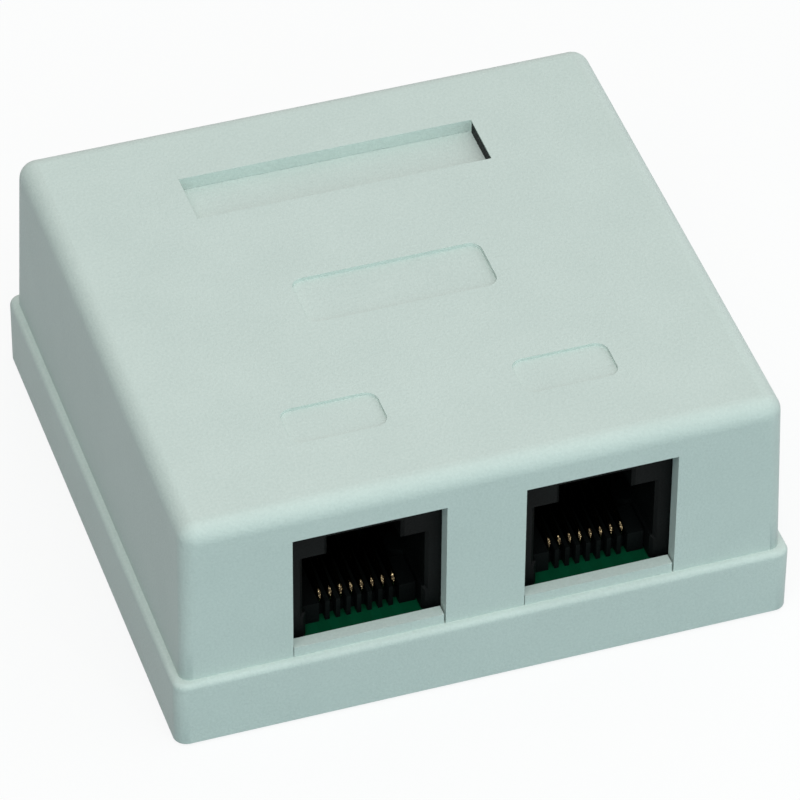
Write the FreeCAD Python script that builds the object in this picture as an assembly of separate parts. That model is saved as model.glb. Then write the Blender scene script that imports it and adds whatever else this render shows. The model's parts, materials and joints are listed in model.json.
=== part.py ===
"""Two-port surface mount jack box for structured cabling.

A white moulded base is screwed to the wall. It carries a green circuit board with two black
8-way modular jacks at the front, and behind them two blocks of slotted contacts in which the
wires of the building cable end. A white cover drops over the lot, is held by snap tongues
inside the base's skirt, and lifts off straight up.

Frame: millimetres, +Z away from the wall, ports facing -Y, origin at the centre of the
base's underside.
"""
import FreeCAD
import Part
import math
import os

Vector = FreeCAD.Vector

# ================================================================ driving sizes
# base
base_width = 60.0
base_depth = 57.6
base_floor = 2.0
skirt_height = 7.6
skirt_wall = 2.0
base_corner_radius = 1.3
skirt_top_radius = 0.9
base_foot_chamfer = 0.3
well_corner_radius = 0.8

# cover
overall_height = 25.8
ledge_width = 0.78           # how far the skirt stands out past the cover
cover_wall = 1.5
cover_top_wall = 1.7
cover_side_draft = 0.38      # lean of each wall over the cover's height
cover_back_draft = 0.45
cover_front_draft = 0.06
cover_foot_radius = 1.1      # upright corners at the foot
cover_top_radius = 1.8       # top edge all round, and the corners where they reach it
cover_inner_chamfer = 0.9
cover_corner_lifts = 4       # each upright corner is a stack of this many ruled patches

# ports and their windows
port_pitch = 22.32
window_width = 14.7
window_top = 22.05           # above the wall
sill_height = 1.15           # above the skirt
sill_gap_left = 0.08
sill_gap_right = 0.18

# recesses in the cover's top face
label_length = 29.4
label_width = 6.1
label_recess = 1.45
label_x = -0.2
label_y = 16.45
label_slot_width = 0.4
label_slot_margin = 0.25
label_pad_thickness = 0.9
label_pad_margin = 1.5
badge_length = 18.7
badge_width = 6.4
badge_recess = 0.4
badge_y = -0.95
icon_length = 9.35
icon_width = 4.75
icon_recess = 0.32
icon_y = -17.15
shallow_corner_radius = 1.2

# ribs under the cover that keep the jacks down
rib_thickness = 1.0
rib_length = 11.0
rib_spread = 9.0
rib_gap = 0.3

# snap tongues of the cover, and the grooves in the skirt that take their ridges
tongue_width = 8.0
front_tongue_width = 6.0
tongue_thickness = 1.0
tongue_reach = 4.2           # below the skirt's rim
tongue_root = 3.0            # above the skirt's rim
tongue_root_overlap = 0.5    # into the cover's wall
tongue_gap = 0.3             # to the skirt's inner face
tongue_lead = 0.4
ridge_height = 0.25
ridge_band = 1.0
ridge_above_lead = 0.6
groove_depth = 0.4
groove_play = 0.3
side_tongue_y = 15.0
back_tongue_x = 14.0

# wall screws, cable entry, cable ties, knock-outs and pry notch
fixing_pitch = 47.4
fixing_hole_radius = 2.1
fixing_y = 0.0
entry_width = 15.0
entry_length = 10.0
entry_y = 18.5
entry_corner_radius = 2.0
tie_slot_width = 2.0
tie_slot_length = 5.0
tie_bar = 3.0
knockout_width = 11.0
knockout_height = 8.0        # above the skirt's rim
knockout_groove = 0.7
knockout_web = 0.6
pry_width = 8.0
pry_depth = 0.9

# circuit board
board_thickness = 1.6
board_top = 8.2
board_half_width = 19.6
board_gap = 0.2              # to the inside of the cover's front wall
board_length = 35.72
board_corner_radius = 1.0
board_notch_gap = 0.5        # round the cover's front tongue
pin_hole_sides = 6
board_screw_setbacks = (6.32, 27.52)   # behind the board's front edge
board_screw_hole_radius = 1.6
post_radius = 2.6
post_pilot_radius = 1.15
pilot_sides = 8
prop_half_side = 1.5
prop_x = 17.2
prop_setbacks = (1.72, 33.52)           # behind the board's front edge

# board screws
screw_shank_radius = 1.05
screw_tip_gap = 0.8          # tip above the base's floor
screw_head_radius = 2.4
screw_head_height = 1.7
screw_recess_width = 0.8
screw_recess_length = 2.8
screw_recess_depth = 1.0

# jack housing
jack_setback = 1.7           # jack's face behind the cover's front face
jack_width = 15.4
jack_length = 16.0
jack_height = 13.2
jack_edge_chamfer = 0.25
jack_back_wall = 1.6
plug_width = 11.75
plug_ceiling = 9.6           # above the board
plug_floor = 2.8
rail_width = 0.3
key_width = 7.05
key_height = 2.1
mouth_chamfer = 0.3
peg_radius = 1.5
peg_reach = 2.6
peg_spread = 11.43
peg_setback = 6.9
peg_clearance = 0.1

# contact carrier, the comb that holds the contact wires
carrier_clearance = 0.12
comb_setback = 1.5           # its teeth behind the jack's face
comb_height = 2.35
comb_tooth_length = 0.95      # the slots go down to the board this far back
carrier_stop_thickness = 1.9
carrier_stop_height = 8.8
wire_slot_width = 0.6
free_end_slot_depth = 1.1
free_end_play = 1.2

# contact wires
contact_count = 8
contact_pitch = 1.02
wire_thickness = 0.42
wire_run_height = 1.35       # middle of the lower run above the board
crest_setback = 2.15         # front of the bend behind the jack's face
crest_radius = 0.78
crest_chords = 8             # short straights of the bend
wire_rise_deg = 15.0
wire_end_into_slot = 0.7
tail_row_setback = 9.3
tail_row_pitch = 2.54
tail_hole_radius = 0.4
tail_below_board = 1.1

# blocks of insulation-displacement contacts
block_width = 14.2
block_length = 13.4
block_height = 9.8
block_gap = 3.3              # behind the jacks
block_channel_width = 4.6
block_channel_floor = 3.4
way_count = 4                # along each side of a block
way_pitch = 3.2
groove_width = 0.9
groove_cut = 6.2
groove_mouth = 2.3
groove_mouth_depth = 1.1

# the slotted contacts
blade_thickness = 0.5
blade_width = 2.3
blade_clearance = 0.12
blade_top_drop = 1.3
blade_slit = 0.3
blade_slit_depth = 4.6
blade_mouth = 1.0
blade_pin_width = 0.6
blade_hole_radius = 0.5

# ================================================================ places worked out from them
EPS = 0.5                    # how far a cutting tool runs past the face it cuts
half_width = base_width / 2
half_depth = base_depth / 2
well_half_x = half_width - skirt_wall
well_half_y = half_depth - skirt_wall
cover_half_x = half_width - ledge_width
cover_half_y = half_depth - ledge_width
cover_ceiling = overall_height - cover_top_wall
port_xs = {"left": -port_pitch / 2, "right": port_pitch / 2}
board_bottom = board_top - board_thickness
board_front_y = -cover_half_y + cover_wall + board_gap
board_back_y = board_front_y + board_length
board_screw_ys = [board_front_y + setback for setback in board_screw_setbacks]
prop_ys = [board_front_y + setback for setback in prop_setbacks]
tail_bottom = board_bottom - tail_below_board
jack_face_y = -cover_half_y + jack_setback
jack_back_y = jack_face_y + jack_length
jack_top = board_top + jack_height
jack_cavity_back_y = jack_back_y - jack_back_wall
peg_y = jack_face_y + peg_setback
well_half_width = plug_width / 2 - rail_width
carrier_half_width = well_half_width - carrier_clearance
carrier_front_y = jack_face_y + comb_setback
carrier_back_y = jack_cavity_back_y - carrier_clearance
carrier_stop_y = carrier_back_y - carrier_stop_thickness
wire_run_z = board_top + wire_run_height
wire_bed_z = wire_run_z - wire_thickness / 2
block_front_y = jack_back_y + block_gap
block_centre_y = block_front_y + block_length / 2
block_top = board_top + block_height
ridge_width = (block_width - block_channel_width) / 2
ridge_offset = (block_channel_width + ridge_width) / 2


# ================================================================ plain shapes
def box(x0, x1, y0, y1, z0, z1):
    """Box between two corners."""
    return Part.makeBox(x1 - x0, y1 - y0, z1 - z0, Vector(x0, y0, z0))


def cylinder(x, y, z0, z1, radius):
    """Upright cylinder."""
    return Part.makeCylinder(radius, z1 - z0, Vector(x, y, z0))


def upright_edges(solid):
    """Edges that run most of the way up a solid."""
    rise = 0.5 * solid.BoundBox.ZLength
    return [e for e in solid.Edges if abs(e.Vertexes[0].Z - e.Vertexes[-1].Z) > rise]


def edges_at(solid, z):
    """Edges that lie wholly at one height."""
    return [e for e in solid.Edges if e.BoundBox.ZMax < z + 1e-4 and e.BoundBox.ZMin > z - 1e-4]


def rounded_block(x0, x1, y0, y1, z0, z1, radius):
    """Box with its four upright edges rounded."""
    block = box(x0, x1, y0, y1, z0, z1)
    return block.makeFillet(radius, upright_edges(block))


def prism(points, direction):
    """Solid swept from a flat polygon."""
    return Part.Face(Part.makePolygon(points + points[:1])).extrude(direction)


def prism_x(points_yz, x0, x1):
    """Prism along X with its section given in Y and Z."""
    return prism([Vector(x0, y, z) for y, z in points_yz], Vector(x1 - x0, 0, 0))


def prism_y(points_xz, y0, y1):
    """Prism along Y with its section given in X and Z."""
    return prism([Vector(x, y0, z) for x, z in points_xz], Vector(0, y1 - y0, 0))


def many_sided(x, y, z0, z1, radius, sides):
    """Upright prism with a regular outline, for small holes of which there are many."""
    angles = [math.tau * (side + 0.5) / sides for side in range(sides)]
    corners = [Vector(x + radius * math.cos(a), y + radius * math.sin(a), z0) for a in angles]
    return prism(corners, Vector(0, 0, z1 - z0))


def joined(first, others):
    """One solid from several that meet."""
    return first.multiFuse(others).removeSplitter()


def export(shape, name):
    """Writes one sub-part."""
    shape.exportStep("parts/%s.step" % name)


# ================================================================ snap tongues and their grooves
def tongue_places():
    """Where each tongue stands: (x, y, turn about Z, width). Unturned, it faces the wall at -X."""
    places = [(0.0, -well_half_y, 90, front_tongue_width)]
    for side in (-1, 1):
        places.append((-well_half_x, side * side_tongue_y, 0, tongue_width))
        places.append((well_half_x, side * side_tongue_y, 180, tongue_width))
        places.append((side * back_tongue_x, well_half_y, -90, tongue_width))
    return places


def at_place(solid, place):
    """A shape modelled at the origin, turned and moved to its wall."""
    x, y, turn, _ = place
    solid.rotate(Vector(0, 0, 0), Vector(0, 0, 1), turn)
    solid.translate(Vector(x, y, 0))
    return solid


def ridge_bottom():
    """Height of the ridge's lower edge."""
    return skirt_height - tongue_reach + tongue_lead + ridge_above_lead


def snap_tongue(width):
    """A strip with a tapered tip, a root that runs into the wall, and a ridge on its outer face."""
    outer = tongue_gap
    inner = tongue_gap + tongue_thickness
    tip = skirt_height - tongue_reach
    top = skirt_height + tongue_root
    section = [
        (outer, skirt_height),
        (outer, tip + tongue_lead),
        (outer + tongue_lead, tip),
        (inner, tip),
        (inner, top - tongue_thickness),
        (outer, top),
        (outer - tongue_root_overlap, top),
        (outer - tongue_root_overlap, skirt_height),
    ]
    strip = prism_y(section, -width / 2, width / 2)
    low = ridge_bottom()
    ridge = [
        (inner, low),
        (outer, low),
        (outer - ridge_height, low + ridge_band / 2),
        (outer, low + ridge_band),
        (inner, low + ridge_band),
    ]
    return joined(strip, [prism_y(ridge, -width / 2, width / 2)])


def snap_groove(width):
    """The hollow in the skirt's inner face that takes one ridge."""
    half = width / 2 + groove_play
    low = ridge_bottom() - groove_play
    high = ridge_bottom() + ridge_band + groove_play
    return box(-groove_depth, EPS, -half, half, low, high)


# ================================================================ base
def knockout_groove_lefts():
    """Left edges of the two upright grooves beside the rear knock-out, in base and cover alike."""
    return -knockout_width / 2, knockout_width / 2 - knockout_groove


def window_sill(x):
    """The upstand that closes a window at its foot."""
    left = x - window_width / 2 + sill_gap_left
    right = x + window_width / 2 - sill_gap_right
    bottom = skirt_height - skirt_top_radius
    return box(left, right, -cover_half_y, -well_half_y, bottom, skirt_height + sill_height)


def base_tray():
    """Floor and skirt."""
    body = rounded_block(-half_width, half_width, -half_depth, half_depth, 0, skirt_height,
                         base_corner_radius)
    body = body.makeFillet(skirt_top_radius, edges_at(body, skirt_height))
    body = body.makeChamfer(base_foot_chamfer, edges_at(body, 0))
    well = rounded_block(-well_half_x, well_half_x, -well_half_y, well_half_y, base_floor,
                         skirt_height + EPS, well_corner_radius)
    return body.cut(well)


def base_standing_parts():
    """Sills, screw posts and props under the board."""
    parts = [window_sill(x) for x in port_xs.values()]
    for y in board_screw_ys:
        parts.append(cylinder(0, y, base_floor, board_bottom, post_radius))
    for x in (-prop_x, prop_x):
        for y in prop_ys:
            parts.append(box(x - prop_half_side, x + prop_half_side, y - prop_half_side,
                             y + prop_half_side, base_floor, board_bottom))
    return parts


def tie_slots():
    """Two slots each side of the cable entry, with a bar between them for a cable tie."""
    slots = []
    for step in range(2):
        inner = entry_width / 2 + tie_bar + step * (tie_slot_width + tie_bar)
        for x in (-inner - tie_slot_width, inner):
            slots.append(box(x, x + tie_slot_width, entry_y - tie_slot_length / 2,
                             entry_y + tie_slot_length / 2, -EPS, base_floor + EPS))
    return slots


def base_holes():
    """Pilot holes, wall screw holes, cable entry and tie slots."""
    holes = tie_slots()
    for y in board_screw_ys:
        holes.append(many_sided(0, y, base_floor, board_bottom + EPS, post_pilot_radius, pilot_sides))
    for x in (-fixing_pitch / 2, fixing_pitch / 2):
        holes.append(cylinder(x, fixing_y, -EPS, base_floor + EPS, fixing_hole_radius))
    holes.append(rounded_block(-entry_width / 2, entry_width / 2, entry_y - entry_length / 2,
                               entry_y + entry_length / 2, -EPS, base_floor + EPS,
                               entry_corner_radius))
    return holes


def base():
    """The whole base in one moulding."""
    body = joined(base_tray(), base_standing_parts())
    cuts = base_holes()
    cuts += [at_place(snap_groove(place[3]), place) for place in tongue_places()]
    for left in knockout_groove_lefts():
        cuts.append(box(left, left + knockout_groove, well_half_y - EPS, half_depth - knockout_web,
                        base_floor, skirt_height + EPS))
    cuts.append(box(-pry_width / 2, pry_width / 2, half_depth - pry_depth, half_depth + EPS,
                    skirt_height - pry_depth, skirt_height + EPS))
    return body.cut(cuts)


# ================================================================ cover
def wall_outline(x, front, back, z, radius):
    """Round-cornered outline: (tangent point, sharp corner, tangent point) for each corner in turn."""
    corners = []
    for sx, sy in ((1, -1), (1, 1), (-1, 1), (-1, -1)):
        sharp = Vector(sx * x, front if sy < 0 else back, z)
        along_x = sharp - Vector(sx * radius, 0, 0)
        along_y = sharp - Vector(0, sy * radius, 0)
        corners.append((along_x, sharp, along_y) if sx * sy < 0 else (along_y, sharp, along_x))
    return corners


def corner_arc(tangent_in, sharp, tangent_out):
    """Quarter circle that rounds one corner of an outline."""
    share = 1 - math.sqrt(0.5)
    chord_middle = (tangent_in + tangent_out) / 2
    middle = sharp + (chord_middle - sharp) * 2 * share
    return Part.Arc(tangent_in, middle, tangent_out).toShape()


def level_face(outline):
    """The face inside an outline."""
    edges = []
    for corner, following in zip(outline, outline[1:] + outline[:1]):
        edges.append(corner_arc(*corner))
        edges.append(Part.LineSegment(corner[2], following[0]).toShape())
    return Part.Face(Part.Wire(edges))


def ruled_corner(low, high):
    """Patches between two corner arcs of different radius, straight from foot to top."""
    weight = math.sqrt(0.5)
    surface = Part.BSplineSurface()
    poles = [[a, b] for a, b in zip(low, high)]
    surface.buildFromPolesMultsKnots(poles, (3, 3), (2, 2), (0, 1), (0, 1), False, False, 2, 1,
                                     [[1, 1], [weight, weight], [1, 1]])
    patches = []
    for lift in range(cover_corner_lifts):
        patch = surface.copy()
        patch.segment(0, 1, lift / cover_corner_lifts, (lift + 1) / cover_corner_lifts)
        patches.append(patch.toShape())
    return patches


def lifted_edge(low, high):
    """Points up one edge of a flat wall, one at each joint between the corner's patches."""
    return [low + (high - low) * (lift / cover_corner_lifts) for lift in range(cover_corner_lifts + 1)]


def leaning_walls(low, high):
    """Solid between two outlines at different heights."""
    faces = [level_face(low), level_face(high)]
    for index in range(len(low)):
        following = (index + 1) % len(low)
        faces += ruled_corner(low[index], high[index])
        flat = lifted_edge(low[index][2], high[index][2])
        flat += reversed(lifted_edge(low[following][0], high[following][0]))
        faces.append(Part.Face(Part.makePolygon(flat + flat[:1])))
    shell = Part.makeShell(faces)
    shell.sewShape()
    return Part.makeSolid(shell)


def cover_outside():
    """Leaning walls with round uprights, then a level top with a round edge."""
    shoulder = overall_height - cover_top_radius
    share = (shoulder - skirt_height) / (overall_height - skirt_height)
    x = cover_half_x - cover_side_draft * share
    front = -cover_half_y + cover_front_draft * share
    back = cover_half_y - cover_back_draft * share
    foot = wall_outline(cover_half_x, -cover_half_y, cover_half_y, skirt_height, cover_foot_radius)
    rim = wall_outline(x, front, back, shoulder, cover_top_radius)
    cap = box(-x, x, front, back, shoulder - cover_top_radius, overall_height)
    cap = cap.makeFillet(cover_top_radius, upright_edges(cap) + edges_at(cap, overall_height))
    above = box(-half_width, half_width, -half_depth, half_depth, shoulder, overall_height)
    return leaning_walls(foot, rim).fuse(cap.common(above))


def cover_inside():
    """The hollow: leaning walls, with flat chamfers along the uprights and the ceiling's edge."""
    x = cover_half_x - cover_wall
    y = cover_half_y - cover_wall
    share = (cover_ceiling - skirt_height) / (overall_height - skirt_height)
    outlines = []
    for z, x_half, front, back in (
            (skirt_height - EPS, x, -y, y),
            (cover_ceiling, x - cover_side_draft * share, -y + cover_front_draft * share,
             y - cover_back_draft * share)):
        corners = [Vector(x_half, front, z), Vector(x_half, back, z), Vector(-x_half, back, z),
                   Vector(-x_half, front, z)]
        outlines.append(Part.makePolygon(corners + corners[:1]))
    hollow = Part.makeLoft(outlines, True, True)
    rounded = upright_edges(hollow) + edges_at(hollow, cover_ceiling)
    return hollow.makeChamfer(cover_inner_chamfer, rounded)


def top_recess(x, y, length, width, depth, radius):
    """A sunk field in the cover's top face."""
    return rounded_block(x - length / 2, x + length / 2, y - width / 2, y + width / 2,
                         overall_height - depth, overall_height + EPS, radius)


def cover_inner_parts():
    """The pad under the label recess, the ribs over the jacks and the snap tongues."""
    pad_half_x = label_length / 2 + label_pad_margin
    pad_half_y = label_width / 2 + label_pad_margin
    parts = [box(label_x - pad_half_x, label_x + pad_half_x, label_y - pad_half_y, label_y + pad_half_y,
                 cover_ceiling - label_pad_thickness, cover_ceiling + EPS)]
    middle = (jack_face_y + jack_back_y) / 2
    for x in port_xs.values():
        for side in (-1, 1):
            at = x + side * rib_spread / 2
            parts.append(box(at - rib_thickness / 2, at + rib_thickness / 2, middle - rib_length / 2,
                             middle + rib_length / 2, jack_top + rib_gap, cover_ceiling + EPS))
    parts += [at_place(snap_tongue(place[3]), place) for place in tongue_places()]
    return parts


def cover_cuts():
    """Windows, sunk fields, the label's slot and the knock-out's grooves."""
    cuts = []
    for x in port_xs.values():
        cuts.append(box(x - window_width / 2, x + window_width / 2, -cover_half_y - EPS,
                        -cover_half_y + cover_wall + EPS, skirt_height - EPS, window_top))
        cuts.append(top_recess(x, icon_y, icon_length, icon_width, icon_recess, shallow_corner_radius))
    cuts.append(top_recess(0, badge_y, badge_length, badge_width, badge_recess, shallow_corner_radius))
    cuts.append(box(label_x - label_length / 2, label_x + label_length / 2, label_y - label_width / 2,
                    label_y + label_width / 2, overall_height - label_recess, overall_height + EPS))
    slot_end = label_x + label_length / 2
    slot_half = label_width / 2 - label_slot_margin
    cuts.append(box(slot_end - label_slot_width, slot_end, label_y - slot_half, label_y + slot_half,
                    cover_ceiling - label_pad_thickness - EPS, overall_height - label_recess + EPS))
    inner = cover_half_y - cover_wall - EPS
    web = cover_half_y - knockout_web
    top = skirt_height + knockout_height
    for left in knockout_groove_lefts():
        cuts.append(box(left, left + knockout_groove, inner, web, skirt_height - EPS, top))
    cuts.append(box(-knockout_width / 2, knockout_width / 2, inner, web, top - knockout_groove, top))
    return cuts


def cover():
    """The whole cover in one moulding."""
    shell = joined(cover_outside().cut(cover_inside()), cover_inner_parts())
    return shell.cut(cover_cuts())


# ================================================================ circuit board and its screws
def tail_y(index):
    """Where a contact wire goes down through the board: two rows, taken in turn."""
    return jack_face_y + tail_row_setback + (index % 2) * tail_row_pitch


def contact_x(port_x, index):
    """Middle of one contact wire."""
    return port_x + (index - (contact_count - 1) / 2) * contact_pitch


def way_places(port_x):
    """Middle of each slotted contact of one block, along one side and then the other."""
    places = []
    for side in (-1, 1):
        for way in range(way_count):
            y = block_centre_y + (way - (way_count - 1) / 2) * way_pitch
            places.append((port_x + side * ridge_offset, y))
    return places


def board_hole(x, y, radius):
    """Tool for a round hole through the board."""
    return cylinder(x, y, board_bottom - EPS, board_top + EPS, radius)


def pin_hole(x, y, radius):
    """Tool for a small plated hole."""
    return many_sided(x, y, board_bottom - EPS, board_top + EPS, radius, pin_hole_sides)


def circuit_board():
    """Board with a notch for the cover's front tongue and a hole for each peg, screw, wire and pin."""
    board = rounded_block(-board_half_width, board_half_width, board_front_y, board_back_y,
                          board_bottom, board_top, board_corner_radius)
    notch_half = front_tongue_width / 2 + board_notch_gap
    notch_back = -well_half_y + tongue_gap + tongue_thickness + board_notch_gap
    cuts = [box(-notch_half, notch_half, board_front_y - EPS, notch_back, board_bottom - EPS,
                board_top + EPS)]
    cuts += [board_hole(0, y, board_screw_hole_radius) for y in board_screw_ys]
    for port_x in port_xs.values():
        cuts += [board_hole(x, peg_y, peg_radius + peg_clearance) for x in peg_xs(port_x)]
        for index in range(contact_count):
            cuts.append(pin_hole(contact_x(port_x, index), tail_y(index), tail_hole_radius))
        cuts += [pin_hole(x, y, blade_hole_radius) for x, y in way_places(port_x)]
    return board.cut(cuts)


def board_screw(y):
    """Cheese-head screw with a cross recess."""
    top = board_top + screw_head_height
    head = cylinder(0, y, board_top, top, screw_head_radius)
    shank = cylinder(0, y, base_floor + screw_tip_gap, board_top + EPS, screw_shank_radius)
    long_half = screw_recess_length / 2
    short_half = screw_recess_width / 2
    bottom = top - screw_recess_depth
    recess = [box(-long_half, long_half, y - short_half, y + short_half, bottom, top + EPS),
              box(-short_half, short_half, y - long_half, y + long_half, bottom, top + EPS)]
    return joined(head, [shank]).cut(recess)


# ================================================================ modular jack
def peg_xs(port_x):
    """Where one jack's two pegs stand, from left to right."""
    return port_x - peg_spread / 2, port_x + peg_spread / 2


def plug_opening(x, grow, y):
    """Outline of the plug opening, with the rails below and the latch's step above, grown evenly."""
    rail_top = board_top + plug_floor - grow
    ceiling = board_top + plug_ceiling + grow
    well = well_half_width + grow
    plug = plug_width / 2 + grow
    key = key_width / 2 + grow
    right_side = [
        (well, board_top - EPS),
        (well, rail_top),
        (plug, rail_top),
        (plug, ceiling),
        (key, ceiling),
        (key, ceiling + key_height),
    ]
    left_side = [(-across, z) for across, z in reversed(right_side)]
    points = [Vector(x + across, y, z) for across, z in right_side + left_side]
    return Part.makePolygon(points + points[:1])


def jack_housing(x):
    """Black housing, open at the front and below, with a stepped roof for the plug's latch."""
    half = jack_width / 2
    body = box(x - half, x + half, jack_face_y, jack_back_y, board_top, jack_top)
    body = body.makeChamfer(jack_edge_chamfer, upright_edges(body) + edges_at(body, jack_top))
    cavity_length = jack_cavity_back_y - jack_face_y
    cavity = Part.Face(plug_opening(x, 0, jack_face_y)).extrude(Vector(0, cavity_length, 0))
    mouth = Part.makeLoft([plug_opening(x, 2 * mouth_chamfer, jack_face_y - mouth_chamfer),
                           plug_opening(x, 0, jack_face_y + mouth_chamfer)], True, True)
    pegs = [cylinder(peg_x, peg_y, board_top - peg_reach, board_top + plug_floor, peg_radius)
            for peg_x in peg_xs(x)]
    return joined(body.cut([cavity, mouth]), pegs)


def wire_crest():
    """Middle of the bend at the front of every contact wire, in Y and Z."""
    return jack_face_y + crest_setback + wire_thickness / 2 + crest_radius, wire_run_z + crest_radius


def wire_free_end():
    """Tip of every contact wire, in Y and Z."""
    slope = math.radians(wire_rise_deg)
    crest_y, crest_z = wire_crest()
    leave_y = crest_y - crest_radius * math.sin(slope)
    leave_z = crest_z + crest_radius * math.cos(slope)
    end_y = carrier_stop_y + wire_end_into_slot
    return end_y, leave_z + (end_y - leave_y) * math.tan(slope)


def carrier_slots(x, index):
    """Tools for one wire's slots: along the comb, down for its tail, down at the front, and its end."""
    left = contact_x(x, index) - wire_slot_width / 2
    right = left + wire_slot_width
    tail = tail_y(index)
    reach = wire_thickness / 2 + carrier_clearance
    end_z = wire_free_end()[1]
    comb_top = board_top + comb_height + EPS
    below = board_top - EPS
    return [
        box(left, right, carrier_front_y - EPS, tail + reach, wire_bed_z, comb_top),
        box(left, right, tail - reach, tail + reach, below, comb_top),
        box(left, right, carrier_front_y - EPS, carrier_front_y + comb_tooth_length, below, comb_top),
        box(left, right, carrier_stop_y - EPS, carrier_stop_y + free_end_slot_depth,
            end_z - free_end_play, end_z + free_end_play),
    ]


def contact_carrier(x):
    """Comb on the board: slots along its floor for the wires, and a stop with slots for their ends."""
    section = [
        (carrier_front_y, board_top),
        (carrier_back_y, board_top),
        (carrier_back_y, board_top + carrier_stop_height),
        (carrier_stop_y, board_top + carrier_stop_height),
        (carrier_stop_y, board_top + comb_height),
        (carrier_front_y, board_top + comb_height),
    ]
    body = prism_x(section, x - carrier_half_width, x + carrier_half_width)
    room = peg_radius + carrier_clearance
    cuts = [box(peg_x - room, peg_x + room, peg_y - room, peg_y + room, board_top - EPS,
                board_top + comb_height + EPS) for peg_x in peg_xs(x)]
    for index in range(contact_count):
        cuts += carrier_slots(x, index)
    return body.cut(cuts)


def bend(x, centre, radius, first, last):
    """Corners of a bend made of short straights."""
    step = (last - first) / crest_chords
    angles = [first + step * chord for chord in range(crest_chords + 1)]
    return [Vector(x, centre[0] + radius * math.cos(a), centre[1] + radius * math.sin(a))
            for a in angles]


def contact_wire(x, index):
    """Sprung contact: tail through the board, forward along the comb, round the bend, back and up."""
    left = x - wire_thickness / 2
    half = wire_thickness / 2
    tail = tail_y(index)
    end_y, end_z = wire_free_end()
    slope = math.radians(wire_rise_deg)
    underside = math.pi * 3 / 2
    topside = math.pi / 2 + slope
    outer = bend(left, wire_crest(), crest_radius + half, underside, topside)
    inner = bend(left, wire_crest(), crest_radius - half, topside, underside)
    across = Vector(0, -math.sin(slope), math.cos(slope)) * half
    tip = Vector(left, end_y, end_z)
    tail_end = [
        Vector(left, tail + half, wire_run_z + half),
        Vector(left, tail + half, tail_bottom),
        Vector(left, tail - half, tail_bottom),
        Vector(left, tail - half, wire_bed_z),
    ]
    return prism(outer + [tip + across, tip - across] + inner + tail_end, Vector(wire_thickness, 0, 0))


# ================================================================ insulation-displacement blocks
def idc_block(x):
    """Two ridges of pointed towers with a channel between them, slotted for the contacts."""
    half = block_width / 2
    back = block_front_y + block_length
    body = box(x - half, x + half, block_front_y, back, board_top, block_top)
    channel_half = block_channel_width / 2
    cuts = [box(x - channel_half, x + channel_half, block_front_y - EPS, back + EPS,
                board_top + block_channel_floor, block_top + EPS)]
    blade_half_x = blade_thickness / 2 + blade_clearance
    blade_half_y = blade_width / 2 + blade_clearance
    for way_x, way_y in way_places(x):
        cuts.append(box(way_x - blade_half_x, way_x + blade_half_x, way_y - blade_half_y,
                        way_y + blade_half_y, board_top - EPS, block_top + EPS))
    for way_y in sorted({y for _, y in way_places(x)}):
        groove = [
            (way_y - groove_mouth / 2, block_top + EPS),
            (way_y - groove_mouth / 2, block_top),
            (way_y - groove_width / 2, block_top - groove_mouth_depth),
            (way_y - groove_width / 2, block_top - groove_cut),
            (way_y + groove_width / 2, block_top - groove_cut),
            (way_y + groove_width / 2, block_top - groove_mouth_depth),
            (way_y + groove_mouth / 2, block_top),
            (way_y + groove_mouth / 2, block_top + EPS),
        ]
        cuts.append(prism_x(groove, x - half - EPS, x + half + EPS))
    return body.cut(cuts)


def idc_contact(x, y):
    """Slotted blade that stands on the board, with a pin through it."""
    blade = blade_width / 2
    pin = blade_pin_width / 2
    slit = blade_slit / 2
    mouth = blade_mouth / 2
    top = block_top - blade_top_drop
    section = [
        (y - blade, board_top),
        (y - pin, board_top),
        (y - pin, tail_bottom),
        (y + pin, tail_bottom),
        (y + pin, board_top),
        (y + blade, board_top),
        (y + blade, top),
        (y + mouth, top),
        (y + slit, top - blade_mouth),
        (y + slit, top - blade_slit_depth),
        (y - slit, top - blade_slit_depth),
        (y - slit, top - blade_mouth),
        (y - mouth, top),
        (y - blade, top),
    ]
    return prism_x(section, x - blade_thickness / 2, x + blade_thickness / 2)


# ================================================================ build
def main():
    os.makedirs("parts", exist_ok=True)
    export(base(), "base")
    export(cover(), "cover")
    export(circuit_board(), "circuit_board")
    export(Part.makeCompound([board_screw(y) for y in board_screw_ys]), "board_screws")
    for side, port_x in port_xs.items():
        export(jack_housing(port_x), "jack_housing_%s" % side)
        export(contact_carrier(port_x), "contact_carrier_%s" % side)
        export(idc_block(port_x), "idc_block_%s" % side)
        for index in range(contact_count):
            wire = contact_wire(contact_x(port_x, index), index)
            export(wire, "jack_contact_%s_%d" % (side, index + 1))
        for number, (x, y) in enumerate(way_places(port_x), 1):
            export(idc_contact(x, y), "idc_contact_%s_%d" % (side, number))


main()
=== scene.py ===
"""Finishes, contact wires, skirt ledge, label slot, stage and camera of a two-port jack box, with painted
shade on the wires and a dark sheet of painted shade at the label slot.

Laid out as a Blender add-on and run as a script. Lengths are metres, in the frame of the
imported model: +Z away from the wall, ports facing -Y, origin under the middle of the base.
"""
import json
import math
from typing import NamedTuple

import bmesh
import bpy
from bpy.props import FloatProperty, FloatVectorProperty, IntProperty, PointerProperty
from mathutils import Matrix, Quaternion, Vector


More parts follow.
